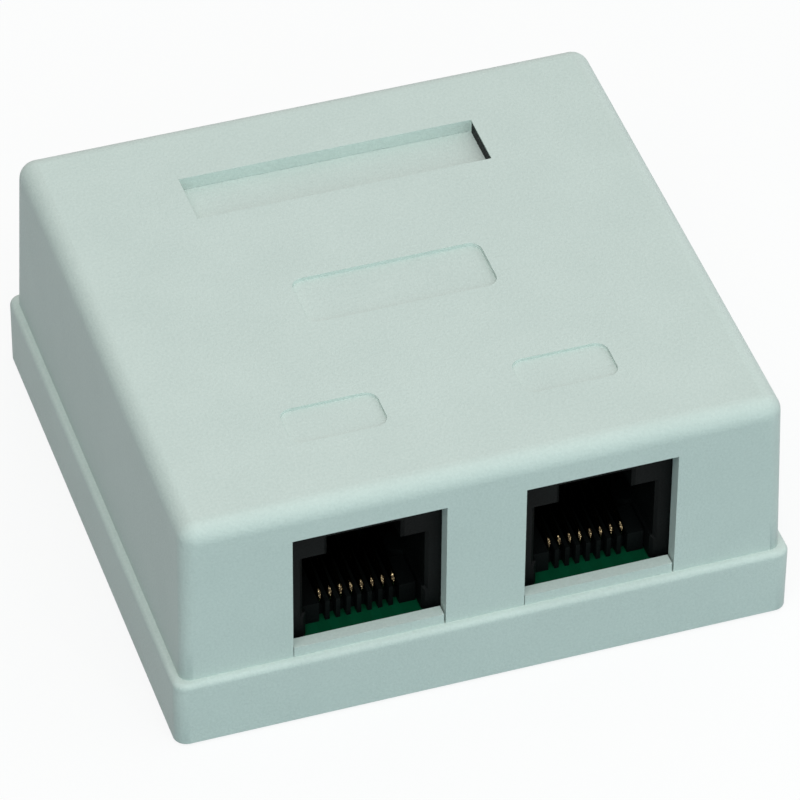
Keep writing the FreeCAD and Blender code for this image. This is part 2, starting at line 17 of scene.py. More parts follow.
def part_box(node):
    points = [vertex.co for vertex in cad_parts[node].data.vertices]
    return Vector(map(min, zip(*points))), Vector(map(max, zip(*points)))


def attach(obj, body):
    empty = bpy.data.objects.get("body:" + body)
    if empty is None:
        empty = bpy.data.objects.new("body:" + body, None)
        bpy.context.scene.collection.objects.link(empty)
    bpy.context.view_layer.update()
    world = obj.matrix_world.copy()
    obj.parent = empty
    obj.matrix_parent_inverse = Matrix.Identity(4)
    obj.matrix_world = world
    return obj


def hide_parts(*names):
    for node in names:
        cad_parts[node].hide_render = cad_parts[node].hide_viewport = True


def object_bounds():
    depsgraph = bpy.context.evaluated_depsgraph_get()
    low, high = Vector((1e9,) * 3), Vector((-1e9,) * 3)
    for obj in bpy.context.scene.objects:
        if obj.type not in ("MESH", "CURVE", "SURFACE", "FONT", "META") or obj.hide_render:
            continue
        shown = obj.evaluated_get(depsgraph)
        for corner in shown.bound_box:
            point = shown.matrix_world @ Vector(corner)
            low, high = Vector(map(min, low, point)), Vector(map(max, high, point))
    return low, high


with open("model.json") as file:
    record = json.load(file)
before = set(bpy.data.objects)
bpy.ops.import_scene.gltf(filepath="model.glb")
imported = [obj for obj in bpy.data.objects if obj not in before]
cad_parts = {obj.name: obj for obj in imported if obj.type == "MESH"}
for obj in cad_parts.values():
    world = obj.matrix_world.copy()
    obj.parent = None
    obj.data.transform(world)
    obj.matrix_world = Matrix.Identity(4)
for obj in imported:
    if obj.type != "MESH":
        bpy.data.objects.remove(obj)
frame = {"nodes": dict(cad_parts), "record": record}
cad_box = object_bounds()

bl_info = {
    "name": "Jack Box Finisher",
    "version": (1, 0, 0),
    "blender": (4, 5, 0),
    "location": "View3D > Sidebar > Jack Box",
    "description": "Gives a jack box its finishes, contact wires, ledge, label slot, stage and camera",
    "category": "Object",
}

MM = 0.001

# mesh
SHARP_ANGLE = math.radians(35)
WELD_DISTANCE = 1e-6
BEVEL_SEGMENTS = 2
RECESS_DEPTHS = (1 * MM, 2 * MM)        # below the cover's top, where the label's recess has its floor
FLOOR_BAND = 0.1 * MM                   # faces this close in height count as one floor
UPWARD = 0.99                           # a face whose normal rises at least this much is a floor
FOOT_BAND = 0.05 * MM                   # height of the cut ends at the foot of a wire's tail
SKIRT_BAND = 1 * MM                     # width at the base's side where only the skirt stands

# nodes
NOISE_LOW, NOISE_HIGH = 0.3, 0.7        # most of a noise's values lie between these
MIX_FIRST, MIX_SECOND, MIX_RESULT = 6, 7, 2             # colour sockets of the Mix node
FIRST_SHADER, SECOND_SHADER = 1, 2                      # shader sockets of the Mix Shader node

# stage
FLOOR_HALF_SIZE = 2.5
FLOOR_SPECKLE_SCALE = 900.0
FLOOR_SPECKLE_SHADE = 0.985
SKY_SIDE_RAMP = (-0.6, 0.5)             # from left to right
SKY_FRONT_RAMP = (-0.1, -0.75)          # from the sides to the front
SKY_TOP_RAMP = (0.55, 0.95)             # from low in the sky to overhead
SENSOR_WIDTH = 36.0
CLIP_NEAR, CLIP_FAR = 0.01, 20.0


# ================================================================ the stage's lamps
class Lamp(NamedTuple):
    """A soft square lamp aimed at the box: angles in degrees, lengths in metres, power in watts."""
    name: str
    azimuth: float
    elevation: float
    distance: float
    size: float
    power: float
    tint: tuple


LAMPS = (
    Lamp("Key lamp", azimuth=-27, elevation=63, distance=0.70, size=0.50, power=1.8, tint=(0.97, 1.0, 1.0)),
    Lamp("Spark lamp", azimuth=20, elevation=52, distance=0.60, size=0.03, power=0.10, tint=(1.0, 1.0, 1.0)),
)


# ================================================================ sizes and colours a user would change
def colour(name, description, default):
    """A linear RGB colour setting."""
    return FloatVectorProperty(name=name, description=description, default=default, size=3,
                               min=0.0, max=1.0, subtype="COLOR")


def length(name, description, default):
    """A length setting in metres."""
    return FloatProperty(name=name, description=description, default=default, min=0.0,
                         subtype="DISTANCE", unit="LENGTH", precision=6)


def angle(name, description, default):
    """An angle setting in radians."""
    return FloatProperty(name=name, description=description, default=default, subtype="ANGLE",
                         unit="ROTATION")


def share(name, description, default):
    """A plain factor setting."""
    return FloatProperty(name=name, description=description, default=default, min=0.0, max=1.0,
                         subtype="FACTOR")


class JackBoxFinishes(bpy.types.PropertyGroup):
    """Colours and surface detail of the moulded, plated and printed parts; the wire colour is darkened as
    painted shade.
    """
    white: colour("White plastic", "Moulded cover and base", (0.640, 0.715, 0.679))
    white_tint: colour("White plastic, second tone", "Tone in the hollows of the grain",
                       (0.562, 0.638, 0.604))
    black: colour("Black plastic", "Jack housings and contact combs", (0.0028, 0.0034, 0.0034))
    block: colour("Block plastic", "Wiring blocks", (0.70, 0.71, 0.66))
    mask: colour("Solder mask", "Bare laminate under the mask", (0.0003, 0.055, 0.022))
    mask_copper: colour("Solder mask over copper", "Tracks under the mask", (0.0004, 0.061, 0.025))
    gold: colour("Gold", "Gold flash on the contact wires", (0.92, 0.72, 0.40))
    # painted shade: this dark colour stands in for the shade on the wires inside the jacks; only the gold
    # specks keep the bright gold
    wire: colour("Wire", "Dull plating under the gold flash", (0.070, 0.052, 0.030))
    tin: colour("Tin", "Slotted contacts", (0.66, 0.67, 0.69))
    zinc: colour("Zinc", "Board screws", (0.60, 0.61, 0.64))
    grain_size: length("Grain size", "Size of the moulded grain", 0.00028)
    grain_depth: length("Grain depth", "Depth of the moulded grain", 0.000012)
    white_gloss: share("White roughness", "Roughness of the moulded white", 0.46)
    edge_round: length("Edge rounding", "Rounding left on sharp moulded edges", 0.00018)


class JackBoxWires(bpy.types.PropertyGroup):
    """Sprung wires of the jacks."""
    bend_radius: length("Bend radius", "Middle of the bend at the front of each wire", 0.00078)
    tail_radius: length("Tail radius", "Bend where each wire turns down through the board", 0.00035)
    rise: angle("Rise", "Slope of each wire behind its bend", math.radians(15.0))
    sides: IntProperty(name="Sides", description="Flats round each wire's section", default=16,
                       min=8, max=48)
    steps: IntProperty(name="Steps", description="Straights in each bend", default=16, min=4, max=64)


class JackBoxLedge(bpy.types.PropertyGroup):
    """Flat top of the base's skirt, outside the cover."""
    edge_radius: length("Edge radius", "Rounding along the ledge's outer edge", 0.00055)
    filled_radius: length("Filled radius", "Larger rounding of the base that the ledge fills out",
                          0.0009)
    sunk: length("Sunk", "How far the ledge's underside lies inside the base", 0.00002)
    corner_radius: length("Corner radius", "Upright corners of the skirt", 0.0013)
    notch_width: length("Notch width", "Gap left for the pry notch at the back", 0.008)
    steps: IntProperty(name="Steps", description="Straights in each bend", default=8, min=2, max=32)


class JackBoxLabelSlot(bpy.types.PropertyGroup):
    """Blank label card in the label's recess, and painted shade: a dark sheet on the recess's right end wall
    that stands in for the shade inside a slot there.
    """
    # painted shade: the height of the dark sheet above the recess's floor
    painted_slot_shade_height: length("Opening height", "Height of the opening above the recess's floor", 0.00130)
    end_gap: length("End gap", "Wall left at each end of the opening", 0.00025)
    floor_thickness: length("Floor thickness", "Blank card that lies on the recess's floor", 0.00005)
    inset: length("Inset", "How far the opening's dark back stands off the wall", 0.00002)


class JackBoxStage(bpy.types.PropertyGroup):
    """Camera, lamps and floor."""
    azimuth: angle("Azimuth", "Camera's turn about the box", math.radians(-18.6))
    elevation: angle("Elevation", "Camera's height angle", math.radians(42.0))
    roll: angle("Roll", "Camera's turn about its own axis", 0.009)
    distance: length("Distance", "Camera to its target", 0.5593)
    focal: FloatProperty(name="Focal length", description="Lens, in millimetres", default=265.5, min=10.0,
                         unit="CAMERA")
    target_shift: FloatVectorProperty(
        name="Target shift", description="Camera's target from the box's centre",
        default=(0.00022, -0.00223, -0.0009), subtype="TRANSLATION", unit="LENGTH", precision=6)
    floor: colour("Floor", "Pale floor in view", (0.98, 0.98, 0.98))
    floor_bounce: colour("Floor bounce", "Colour of the light that the floor sends back up",
                         (0.28, 0.30, 0.335))
    floor_lift: share("Floor lift", "How far the floor is brightened towards white in view", 0.85)
    backdrop: colour("Backdrop", "Backdrop in view", (1.0, 1.0, 1.0))
    sky_left: colour("Light from the left", "Studio light low on the left", (0.01, 0.015, 0.0))
    sky_right: colour("Light from the right", "Studio light low on the right", (0.80, 0.82, 0.82))
    sky_front: colour("Light from the front", "Studio light low in front", (0.74, 1.0, 1.0))
    sky_top: colour("Light from above", "Studio light overhead", (0.695, 0.67, 0.655))


# ================================================================ node tools
def new_material(name):
    """An empty material: (material, tree, shader)."""
    made = bpy.data.materials.new(name)
    made.use_nodes = True
    tree = made.node_tree
    tree.nodes.clear()
    shader = tree.nodes.new("ShaderNodeBsdfPrincipled")
    output = tree.nodes.new("ShaderNodeOutputMaterial")
    tree.links.new(shader.outputs["BSDF"], output.inputs["Surface"])
    return made, tree, shader


def object_coordinates(tree):
    """The object's own coordinates, in metres."""
    return tree.nodes.new("ShaderNodeTexCoord").outputs["Object"]


def noise(tree, vector, scale, detail=2.0, roughness=0.5):
    """Noise from 0 to 1, scale in cells per metre."""
    node = tree.nodes.new("ShaderNodeTexNoise")
    node.inputs["Scale"].default_value = scale
    node.inputs["Detail"].default_value = detail
    node.inputs["Roughness"].default_value = roughness
    tree.links.new(vector, node.inputs["Vector"])
    return node.outputs["Fac"]


def ramp(tree, value, low, high, out_low=0.0, out_high=1.0):
    """A value carried from one range to another, held at its ends."""
    node = tree.nodes.new("ShaderNodeMapRange")
    node.inputs["From Min"].default_value = low
    node.inputs["From Max"].default_value = high
    node.inputs["To Min"].default_value = out_low
    node.inputs["To Max"].default_value = out_high
    tree.links.new(value, node.inputs["Value"])
    return node.outputs["Result"]


def spread(tree, value, low=0.0, high=1.0):
    """Most of a noise's range carried to another range."""
    return ramp(tree, value, NOISE_LOW, NOISE_HIGH, low, high)


def blend_colours(tree, factor, first, second):
    """Two colours mixed by a factor; either colour may be a socket."""
    node = tree.nodes.new("ShaderNodeMix")
    node.data_type = "RGBA"
    tree.links.new(factor, node.inputs["Factor"])
    for socket, value in ((node.inputs[MIX_FIRST], first), (node.inputs[MIX_SECOND], second)):
        if isinstance(value, bpy.types.NodeSocket):
            tree.links.new(value, socket)
        else:
            socket.default_value = (*value, 1.0)
    return node.outputs[MIX_RESULT]


def combine(tree, operation, first, second):
    """Arithmetic on two values; either may be a socket."""
    node = tree.nodes.new("ShaderNodeMath")
    node.operation = operation
    for socket, value in zip(node.inputs, (first, second)):
        if isinstance(value, bpy.types.NodeSocket):
            tree.links.new(value, socket)
        else:
            socket.default_value = value
    return node.outputs["Value"]


def bump(tree, height, distance):
    """Normals from a height."""
    node = tree.nodes.new("ShaderNodeBump")
    node.inputs["Strength"].default_value = 1.0
    node.inputs["Distance"].default_value = distance
    tree.links.new(height, node.inputs["Height"])
    return node.outputs["Normal"]


def mix_shaders(tree, factor, first, second):
    """Two shaders mixed by a factor."""
    node = tree.nodes.new("ShaderNodeMixShader")
    tree.links.new(factor, node.inputs["Fac"])
    tree.links.new(first, node.inputs[FIRST_SHADER])
    tree.links.new(second, node.inputs[SECOND_SHADER])
    return node.outputs["Shader"]


def seen_directly(tree):
    """1 for rays from the camera, off gloss or through glass, 0 for the light that falls on things."""
    path = tree.nodes.new("ShaderNodeLightPath")
    seen = combine(tree, "MAXIMUM", path.outputs["Is Camera Ray"], path.outputs["Is Glossy Ray"])
    return combine(tree, "MAXIMUM", seen, path.outputs["Is Transmission Ray"])


def place_group(tree, group, **values):
    """A shader group placed in a material, with its own values on its named inputs."""
    node = tree.nodes.new("ShaderNodeGroup")
    node.node_tree = group
    for name, value in values.items():
        socket = node.inputs[name.replace("_", " ").capitalize()]
        if isinstance(value, bpy.types.NodeSocket):
            tree.links.new(value, socket)
        else:
            socket.default_value = value
    return node


def new_group(name, inputs, outputs):
    """An empty shader group: (group, input node, output node)."""
    group = bpy.data.node_groups.new(name, "ShaderNodeTree")
    for socket_name, kind, default in inputs:
        socket = group.interface.new_socket(name=socket_name, in_out="INPUT", socket_type=kind)
        if default is not None:
            socket.default_value = default
    for socket_name, kind in outputs:
        group.interface.new_socket(name=socket_name, in_out="OUTPUT", socket_type=kind)
    return group, group.nodes.new("NodeGroupInput"), group.nodes.new("NodeGroupOutput")


def moulded_grain():
    """Fine sparked grain of a moulding, with the slow unevenness that its surface keeps."""
    name = "Moulded grain"
    mottle_share = 0.045
    if name in bpy.data.node_groups:
        return bpy.data.node_groups[name]
    group, given, result = new_group(
        name,
        [("Vector", "NodeSocketVector", None), ("Scale", "NodeSocketFloat", 3500.0)],
        [("Height", "NodeSocketFloat"), ("Mottle", "NodeSocketFloat")])
    fine = group.nodes.new("ShaderNodeTexNoise")
    fine.inputs["Detail"].default_value = 3.0
    fine.inputs["Roughness"].default_value = 0.62
    group.links.new(given.outputs["Vector"], fine.inputs["Vector"])
    group.links.new(given.outputs["Scale"], fine.inputs["Scale"])
    slow = group.nodes.new("ShaderNodeTexNoise")
    slow.inputs["Detail"].default_value = 2.0
    slow_scale = combine(group, "MULTIPLY", given.outputs["Scale"], mottle_share)
    group.links.new(slow_scale, slow.inputs["Scale"])
    group.links.new(given.outputs["Vector"], slow.inputs["Vector"])
    group.links.new(fine.outputs["Fac"], result.inputs["Height"])
    group.links.new(slow.outputs["Fac"], result.inputs["Mottle"])
    return group


# ================================================================ mesh tools
def dress(node, made):
    """Puts one finish on a CAD node."""
    mesh = frame["nodes"][node].data
    mesh.materials.clear()
    mesh.materials.append(made)


def nodes_named(*starts):
    """CAD nodes whose names start in one of these ways, in order."""
    return [n for n in sorted(frame["nodes"]) if n.startswith(starts)]


def body_of(node):
    """The CAD body that a node belongs to."""
    return next(b for b, members in frame["record"]["behaviour"]["bodies"].items() if node in members)


def new_piece(name, mesh, body, made):
    """A mesh piece that rides on a CAD body."""
    data = bpy.data.meshes.new(name)
    mesh.to_mesh(data)
    mesh.free()
    piece = bpy.data.objects.new(name, data)
    bpy.context.scene.collection.objects.link(piece)
    data.materials.append(made)
    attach(piece, body)
    return piece


def round_edges(node, width):
    """Rounds a CAD node's sharp edges by a modifier, without changing its mesh."""
    shown = frame["nodes"][node]
    weld = shown.modifiers.new("Weld", "WELD")
    weld.merge_threshold = WELD_DISTANCE
    bevel = shown.modifiers.new("Edge rounding", "BEVEL")
    bevel.width = width
    bevel.segments = BEVEL_SEGMENTS
    bevel.limit_method = "ANGLE"
    bevel.angle_limit = SHARP_ANGLE
    bevel.harden_normals = True


def block_mesh(low, high):
    """Closed block between two corners."""
    mesh = bmesh.new()
    middle = Matrix.Translation((low + high) / 2)
    size = Matrix.Diagonal((*(high - low), 1.0))
    bmesh.ops.create_cube(mesh, size=1.0, matrix=middle @ size)
    return mesh


def recess_corners():
    """Lowest and highest corners of the label's recess, found in the cover's mesh."""
    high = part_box("cover")[1]
    mesh = frame["nodes"]["cover"].data
    shallow, deepest = RECESS_DEPTHS
    floors = [face for face in mesh.polygons
              if face.normal.z > UPWARD and high.z - deepest < face.center.z < high.z - shallow]
    deep = min(round(face.center.z, 6) for face in floors)
    floor = [face for face in floors if face.center.z < deep + FLOOR_BAND]
    corners = [mesh.vertices[v].co for face in floor for v in face.vertices]
    xs = [corner.x for corner in corners]
    ys = [corner.y for corner in corners]
    return Vector((min(xs), min(ys), deep)), Vector((max(xs), max(ys), high.z))


def ledge_section(ledge, top):
    """Corners of the ledge's section that show, and those sunk in the base: distance inward, height."""
    edge, filled = ledge.edge_radius, ledge.filled_radius
    shown = [(0.0, top - filled)]
    for step in range(ledge.steps + 1):
        angle = math.pi / 2 * step / ledge.steps
        shown.append((edge * (1 - math.cos(angle)), top - edge * (1 - math.sin(angle))))
    shown.append((filled, top))
    sunk_radius = filled - ledge.sunk
    sunk = []
    for step in range(ledge.steps + 1):
        angle = math.pi / 2 * (1 - step / ledge.steps)
        sunk.append((filled - sunk_radius * math.cos(angle), top - filled + sunk_radius * math.sin(angle)))
    return shown, sunk


def ledge_mesh(ledge, half_x, half_y, top):
    """Ledge round the skirt, open at the pry notch."""
    shown, sunk = ledge_section(ledge, top)
    section = shown + sunk
    radius = ledge.corner_radius
    centre_x, centre_y = half_x - radius, half_y - radius
    back = math.pi / 2
    stations = [(ledge.notch_width / 2, centre_y, back)]
    for turn, (side_x, side_y) in enumerate(((1, 1), (1, -1), (-1, -1), (-1, 1))):
        for step in range(ledge.steps + 1):
            angle = back - math.pi / 2 * (turn + step / ledge.steps)
            stations.append((side_x * centre_x, side_y * centre_y, angle))
    stations.append((-ledge.notch_width / 2, centre_y, back))
    mesh = bmesh.new()
    rings = []
    for x, y, angle in stations:
        ring = []
        for inward, z in section:
            out = radius - inward
            ring.append(mesh.verts.new((x + out * math.cos(angle), y + out * math.sin(angle), z)))
        rings.append(ring)
    for ring, following in zip(rings, rings[1:]):
        for index in range(len(section)):
            after = (index + 1) % len(section)
            face = mesh.faces.new((ring[index], ring[after], following[after], following[index]))
            face.smooth = index + 1 < len(shown)
    for end in (rings[0], rings[-1]):
        mesh.faces.new(end)
    bmesh.ops.recalc_face_normals(mesh, faces=mesh.faces)
    for edge in mesh.edges:
        edge.smooth = edge.calc_face_angle() < SHARP_ANGLE
    return mesh


def arc(centre, radius, first, last, steps):
    """Points of an arc in Y and Z, with the way that a wire following it heads at each."""
    points = []
    turn = math.copysign(math.pi / 2, last - first)
    for step in range(steps + 1):
        angle = first + (last - first) * step / steps
        place = (centre[0] + radius * math.cos(angle), centre[1] + radius * math.sin(angle))
        points.append((place, angle + turn))
    return points


def wire_line(node, wires):
    """Middle line of one sprung wire, from its tail to its tip: ((y, z), heading) at each point."""
    low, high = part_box(node)
    half = (high.x - low.x) / 2
    vertices = frame["nodes"][node].data.vertices
    feet = [v.co.y for v in vertices if v.co.z < low.z + FOOT_BAND]
    tail_y = sum(feet) / len(feet)
    bend, rise = wires.bend_radius, wires.rise
    tip = (high.y - half * math.sin(rise), high.z - half * math.cos(rise))
    bend_y = low.y + half + bend
    top_y = bend_y - bend * math.sin(rise)
    bend_z = tip[1] - (tip[0] - top_y) * math.tan(rise) - bend * math.cos(rise)
    run_z = bend_z - bend
    corner = (tail_y - wires.tail_radius, run_z - wires.tail_radius)
    line = [((tail_y, low.z), math.pi / 2)]
    line += arc(corner, wires.tail_radius, 0.0, math.pi / 2, wires.steps // 2)
    line += arc((bend_y, bend_z), bend, math.pi * 3 / 2, math.pi / 2 + rise, wires.steps)
    line.append((tip, rise))
    return line


def wire_mesh(x, line, radius, sides):
    """Round wire along a middle line at one X."""
    mesh = bmesh.new()
    rings = []
    for (y, z), heading in line:
        across = (-math.sin(heading), math.cos(heading))
        ring = []
        for side in range(sides):
            angle = math.tau * side / sides
            out = radius * math.sin(angle)
            corner = (x + radius * math.cos(angle), y + across[0] * out, z + across[1] * out)
            ring.append(mesh.verts.new(corner))
        rings.append(ring)
    for ring, following in zip(rings, rings[1:]):
        for side in range(sides):
            after = (side + 1) % sides
            face = mesh.faces.new((ring[side], ring[after], following[after], following[side]))
            face.smooth = True
    for end in (rings[0], rings[-1]):
        mesh.faces.new(end)
    bmesh.ops.recalc_face_normals(mesh, faces=mesh.faces)
    return mesh


# ================================================================ stage tools
def direction(azimuth, elevation):
    """Unit vector from the box towards a place in the sky."""
    level = math.cos(elevation)
    return Vector((math.sin(azimuth) * level, -math.cos(azimuth) * level, math.sin(elevation)))


def area_lamp(lamp, target):
    """Places one of the stage's lamps, aimed at a point."""
    light = bpy.data.lights.new(lamp.name, "AREA")
    light.shape = "SQUARE"
    light.size = lamp.size
    light.energy = lamp.power
    light.color = lamp.tint
    way = direction(math.radians(lamp.azimuth), math.radians(lamp.elevation))
    holder = bpy.data.objects.new(lamp.name, light)
    holder.location = target + way * lamp.distance
    holder.rotation_mode = "QUATERNION"
    holder.rotation_quaternion = (target - holder.location).to_track_quat("-Z", "Y")
    bpy.context.scene.collection.objects.link(holder)


# ================================================================ finishes
def white_plastic(finish):
    """Moulded white with a fine sparked grain and a slow change of tone, made once."""
    name = "Moulded white"
    if name in bpy.data.materials:
        return bpy.data.materials[name]
    made, tree, shader = new_material(name)
    fine_share, slow_share = 0.75, 0.25
    glossier, duller = finish.white_gloss - 0.05, finish.white_gloss + 0.08
    grain_height = finish.grain_depth * 4
    place = object_coordinates(tree)
    grain = place_group(tree, moulded_grain(), vector=place, scale=1.0 / finish.grain_size)
    fine = combine(tree, "MULTIPLY", spread(tree, grain.outputs["Height"]), fine_share)
    slow = combine(tree, "MULTIPLY", spread(tree, grain.outputs["Mottle"]), slow_share)
    tone = combine(tree, "ADD", fine, slow)
    shade = blend_colours(tree, tone, finish.white_tint, finish.white)
    tree.links.new(shade, shader.inputs["Base Color"])
    tree.links.new(spread(tree, grain.outputs["Height"], glossier, duller), shader.inputs["Roughness"])
    tree.links.new(bump(tree, grain.outputs["Height"], grain_height), shader.inputs["Normal"])
    shader.inputs["Specular IOR Level"].default_value = 0.2
    return made


def black_plastic(finish):
    """Glass-filled black, slightly rough, a little lighter where it is scuffed, made once."""
    name = "Moulded black"
    if name in bpy.data.materials:
        return bpy.data.materials[name]
    made, tree, shader = new_material(name)
    grain_scale, grain_height = 5200.0, 0.00004
    glossier, duller = 0.34, 0.52
    scuff = 1.9
    place = object_coordinates(tree)
    grain = place_group(tree, moulded_grain(), vector=place, scale=grain_scale)
    lighter = tuple(min(1.0, c * scuff) for c in finish.black)
    shade = blend_colours(tree, spread(tree, grain.outputs["Mottle"]), finish.black, lighter)
    tree.links.new(shade, shader.inputs["Base Color"])
    tree.links.new(spread(tree, grain.outputs["Height"], glossier, duller), shader.inputs["Roughness"])
    tree.links.new(bump(tree, grain.outputs["Height"], grain_height), shader.inputs["Normal"])
    shader.inputs["Specular IOR Level"].default_value = 0.06
    return made


def block_plastic(finish):
    """Natural moulded plastic of the wiring blocks."""
    made, tree, shader = new_material("Block plastic")
    grain_scale, grain_height = 4200.0, 0.00003
    glossier, duller = 0.38, 0.5
    shadow = 0.9
    place = object_coordinates(tree)
    grain = place_group(tree, moulded_grain(), vector=place, scale=grain_scale)
    darker = tuple(c * shadow for c in finish.block)
    shade = blend_colours(tree, spread(tree, grain.outputs["Mottle"]), finish.block, darker)
    tree.links.new(shade, shader.inputs["Base Color"])
    tree.links.new(spread(tree, grain.outputs["Height"], glossier, duller), shader.inputs["Roughness"])
    tree.links.new(bump(tree, grain.outputs["Height"], grain_height), shader.inputs["Normal"])
    return made


def plated_metal(name, base, rough_low, rough_high, scratch_scale):
    """Drawn and plated metal, with fine lines along the drawing direction and uneven shine."""
    made, tree, shader = new_material(name)
    drawn_out = (1.0, 0.08, 0.25)
    line_detail, line_roughness, line_height = 3.0, 0.6, 0.00001
    patch_share, patch_shade = 0.12, 0.82
    place = object_coordinates(tree)
    stretch = tree.nodes.new("ShaderNodeMapping")
    stretch.inputs["Scale"].default_value = drawn_out
    tree.links.new(place, stretch.inputs["Vector"])
    lines = noise(tree, stretch.outputs["Vector"], scratch_scale, line_detail, line_roughness)
    patches = noise(tree, place, scratch_scale * patch_share)
    darker = tuple(c * patch_shade for c in base)
    shade = blend_colours(tree, spread(tree, patches), base, darker)
    tree.links.new(shade, shader.inputs["Base Color"])
    tree.links.new(spread(tree, lines, rough_low, rough_high), shader.inputs["Roughness"])
    tree.links.new(bump(tree, lines, line_height), shader.inputs["Normal"])
    shader.inputs["Metallic"].default_value = 1.0
    return made


def wire_with_painted_shade(finish):
    """Painted shade: the wire is coloured dark for the shade inside the jacks, with random specks of bright
    gold flash that catch the light as small glints.
    """
    made, tree, shader = new_material("Gold-flashed wire")
    speck_scale, speck_detail, speck_low, speck_high = 9000.0, 1.0, 0.59, 0.65
    line_scale, line_detail, line_roughness, line_height = 5000.0, 3.0, 0.6, 0.000006
    glossier, duller = 0.10, 0.20
    place = object_coordinates(tree)
    specks = ramp(tree, noise(tree, place, speck_scale, speck_detail), speck_low, speck_high)
    lines = noise(tree, place, line_scale, line_detail, line_roughness)
    # painted shade: dark wire colour for the shade inside the jacks, with bright gold only in the random
    # specks
    tree.links.new(blend_colours(tree, specks, finish.wire, finish.gold), shader.inputs["Base Color"])
    tree.links.new(spread(tree, lines, glossier, duller), shader.inputs["Roughness"])
    tree.links.new(bump(tree, lines, line_height), shader.inputs["Normal"])
    shader.inputs["Metallic"].default_value = 1.0
    return made


def solder_mask(finish):
    """Green mask over laminate, with copper tracks that show through and stand up a little."""
    made, tree, shader = new_material("Solder mask")
    track_pitch, track_edge_low, track_edge_high = 0.00204, 0.1, 0.35
    weave_scale, weave_share = 1600.0, 0.3
    glossier, duller = 0.36, 0.48
    relief = 0.000006
    place = object_coordinates(tree)
    parts = tree.nodes.new("ShaderNodeSeparateXYZ")
    tree.links.new(place, parts.inputs["Vector"])
    turn = combine(tree, "MULTIPLY", parts.outputs["X"], math.tau / track_pitch)
    tracks = ramp(tree, combine(tree, "SINE", turn, 0.0), track_edge_low, track_edge_high)
    weave = noise(tree, place, weave_scale)
    shade = blend_colours(tree, tracks, finish.mask, finish.mask_copper)
    tree.links.new(shade, shader.inputs["Base Color"])
    tree.links.new(spread(tree, weave, glossier, duller), shader.inputs["Roughness"])
    height = combine(tree, "ADD", tracks, combine(tree, "MULTIPLY", weave, weave_share))
    tree.links.new(bump(tree, height, relief), shader.inputs["Normal"])
    shader.inputs["Specular IOR Level"].default_value = 0.15
    return made


# ================================================================ operators
class JACKBOX_OT_shell(bpy.types.Operator):
    """Finish the white cover and base"""
    bl_idname = "jackbox.shell"
    bl_label = "Cover and base"

    def execute(self, context):
        finish = context.scene.jack_box_finishes
        made = white_plastic(finish)
        for node in ("base", "cover"):
            dress(node, made)
            round_edges(node, finish.edge_round)
        return {"FINISHED"}


class JACKBOX_OT_ledge(bpy.types.Operator):
    """Fill the skirt's rounded top out to the flat ledge round the cover"""
    bl_idname = "jackbox.ledge"
    bl_label = "Skirt ledge"

    def execute(self, context):
        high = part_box("base")[1]
        near_edge = high.x - SKIRT_BAND
        vertices = frame["nodes"]["base"].data.vertices
        top = max(v.co.z for v in vertices if abs(v.co.x) > near_edge)
        mesh = ledge_mesh(context.scene.jack_box_ledge, high.x, high.y, top)
        white = white_plastic(context.scene.jack_box_finishes)
        new_piece("skirt_ledge", mesh, "base_unit", white)
        return {"FINISHED"}


class JACKBOX_OT_label_slot(bpy.types.Operator):
    """Lay a blank label in its recess and put a dark sheet of painted shade on the recess's right end wall,
    where a slot would be
    """
    bl_idname = "jackbox.label_slot"
    bl_label = "Label slot"

    def execute(self, context):
        slot = context.scene.jack_box_label_slot
        finish = context.scene.jack_box_finishes
        low, high = recess_corners()
        side = Vector((slot.inset, slot.inset, 0))
        floor_low = low + side
        floor_high = Vector((high.x, high.y, low.z + slot.floor_thickness)) - side
        white = white_plastic(finish)
        card = block_mesh(floor_low, floor_high)
        new_piece("blank_label", card, "cover", white)
        # painted shade: a thin sheet of black plastic on the recess's right end wall stands in for the shade
        # inside a slot there
        dark_low = Vector((high.x - slot.inset, low.y + slot.end_gap, floor_high.z))
        dark_high = Vector((high.x, high.y - slot.end_gap, low.z + slot.painted_slot_shade_height))
        dark = black_plastic(finish)
        painted_slot_shade = block_mesh(dark_low, dark_high)
        new_piece("label_painted_slot_shade", painted_slot_shade, "cover", dark)
        return {"FINISHED"}


class JACKBOX_OT_jacks(bpy.types.Operator):
    """Finish the jack housings and their contact combs"""
    bl_idname = "jackbox.jacks"
    bl_label = "Jack housings"

    def execute(self, context):
        made = black_plastic(context.scene.jack_box_finishes)
        for node in nodes_named("jack_housing", "contact_carrier"):
            dress(node, made)
        return {"FINISHED"}


class JACKBOX_OT_wires(bpy.types.Operator):
    """Draw the wires of the jacks with their true round section, darkened as painted shade, with specks of
    bright gold
    """
    bl_idname = "jackbox.wires"
    bl_label = "Jack wires"

    def execute(self, context):
        wires = context.scene.jack_box_wires
        gold = wire_with_painted_shade(context.scene.jack_box_finishes)
        for node in nodes_named("jack_contact"):
            low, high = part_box(node)
            middle, radius = (low.x + high.x) / 2, (high.x - low.x) / 2
            mesh = wire_mesh(middle, wire_line(node, wires), radius, wires.sides)
            name = node.replace("jack_contact", "wire")
            piece = new_piece(name, mesh, body_of(node), gold)
            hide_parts(node)
        return {"FINISHED"}


class JACKBOX_OT_contacts(bpy.types.Operator):
    """Finish the slotted contacts and the board screws"""
    bl_idname = "jackbox.contacts"
    bl_label = "Slotted contacts and screws"

    def execute(self, context):
        finish = context.scene.jack_box_finishes
        tin = plated_metal("Tin plating", finish.tin, rough_low=0.28, rough_high=0.42,
                           scratch_scale=7000.0)
        zinc = plated_metal("Bright zinc", finish.zinc, rough_low=0.2, rough_high=0.36,
                            scratch_scale=6000.0)
        for made, start in ((tin, "idc_contact"), (zinc, "board_screws")):
            for node in nodes_named(start):
                dress(node, made)
        return {"FINISHED"}


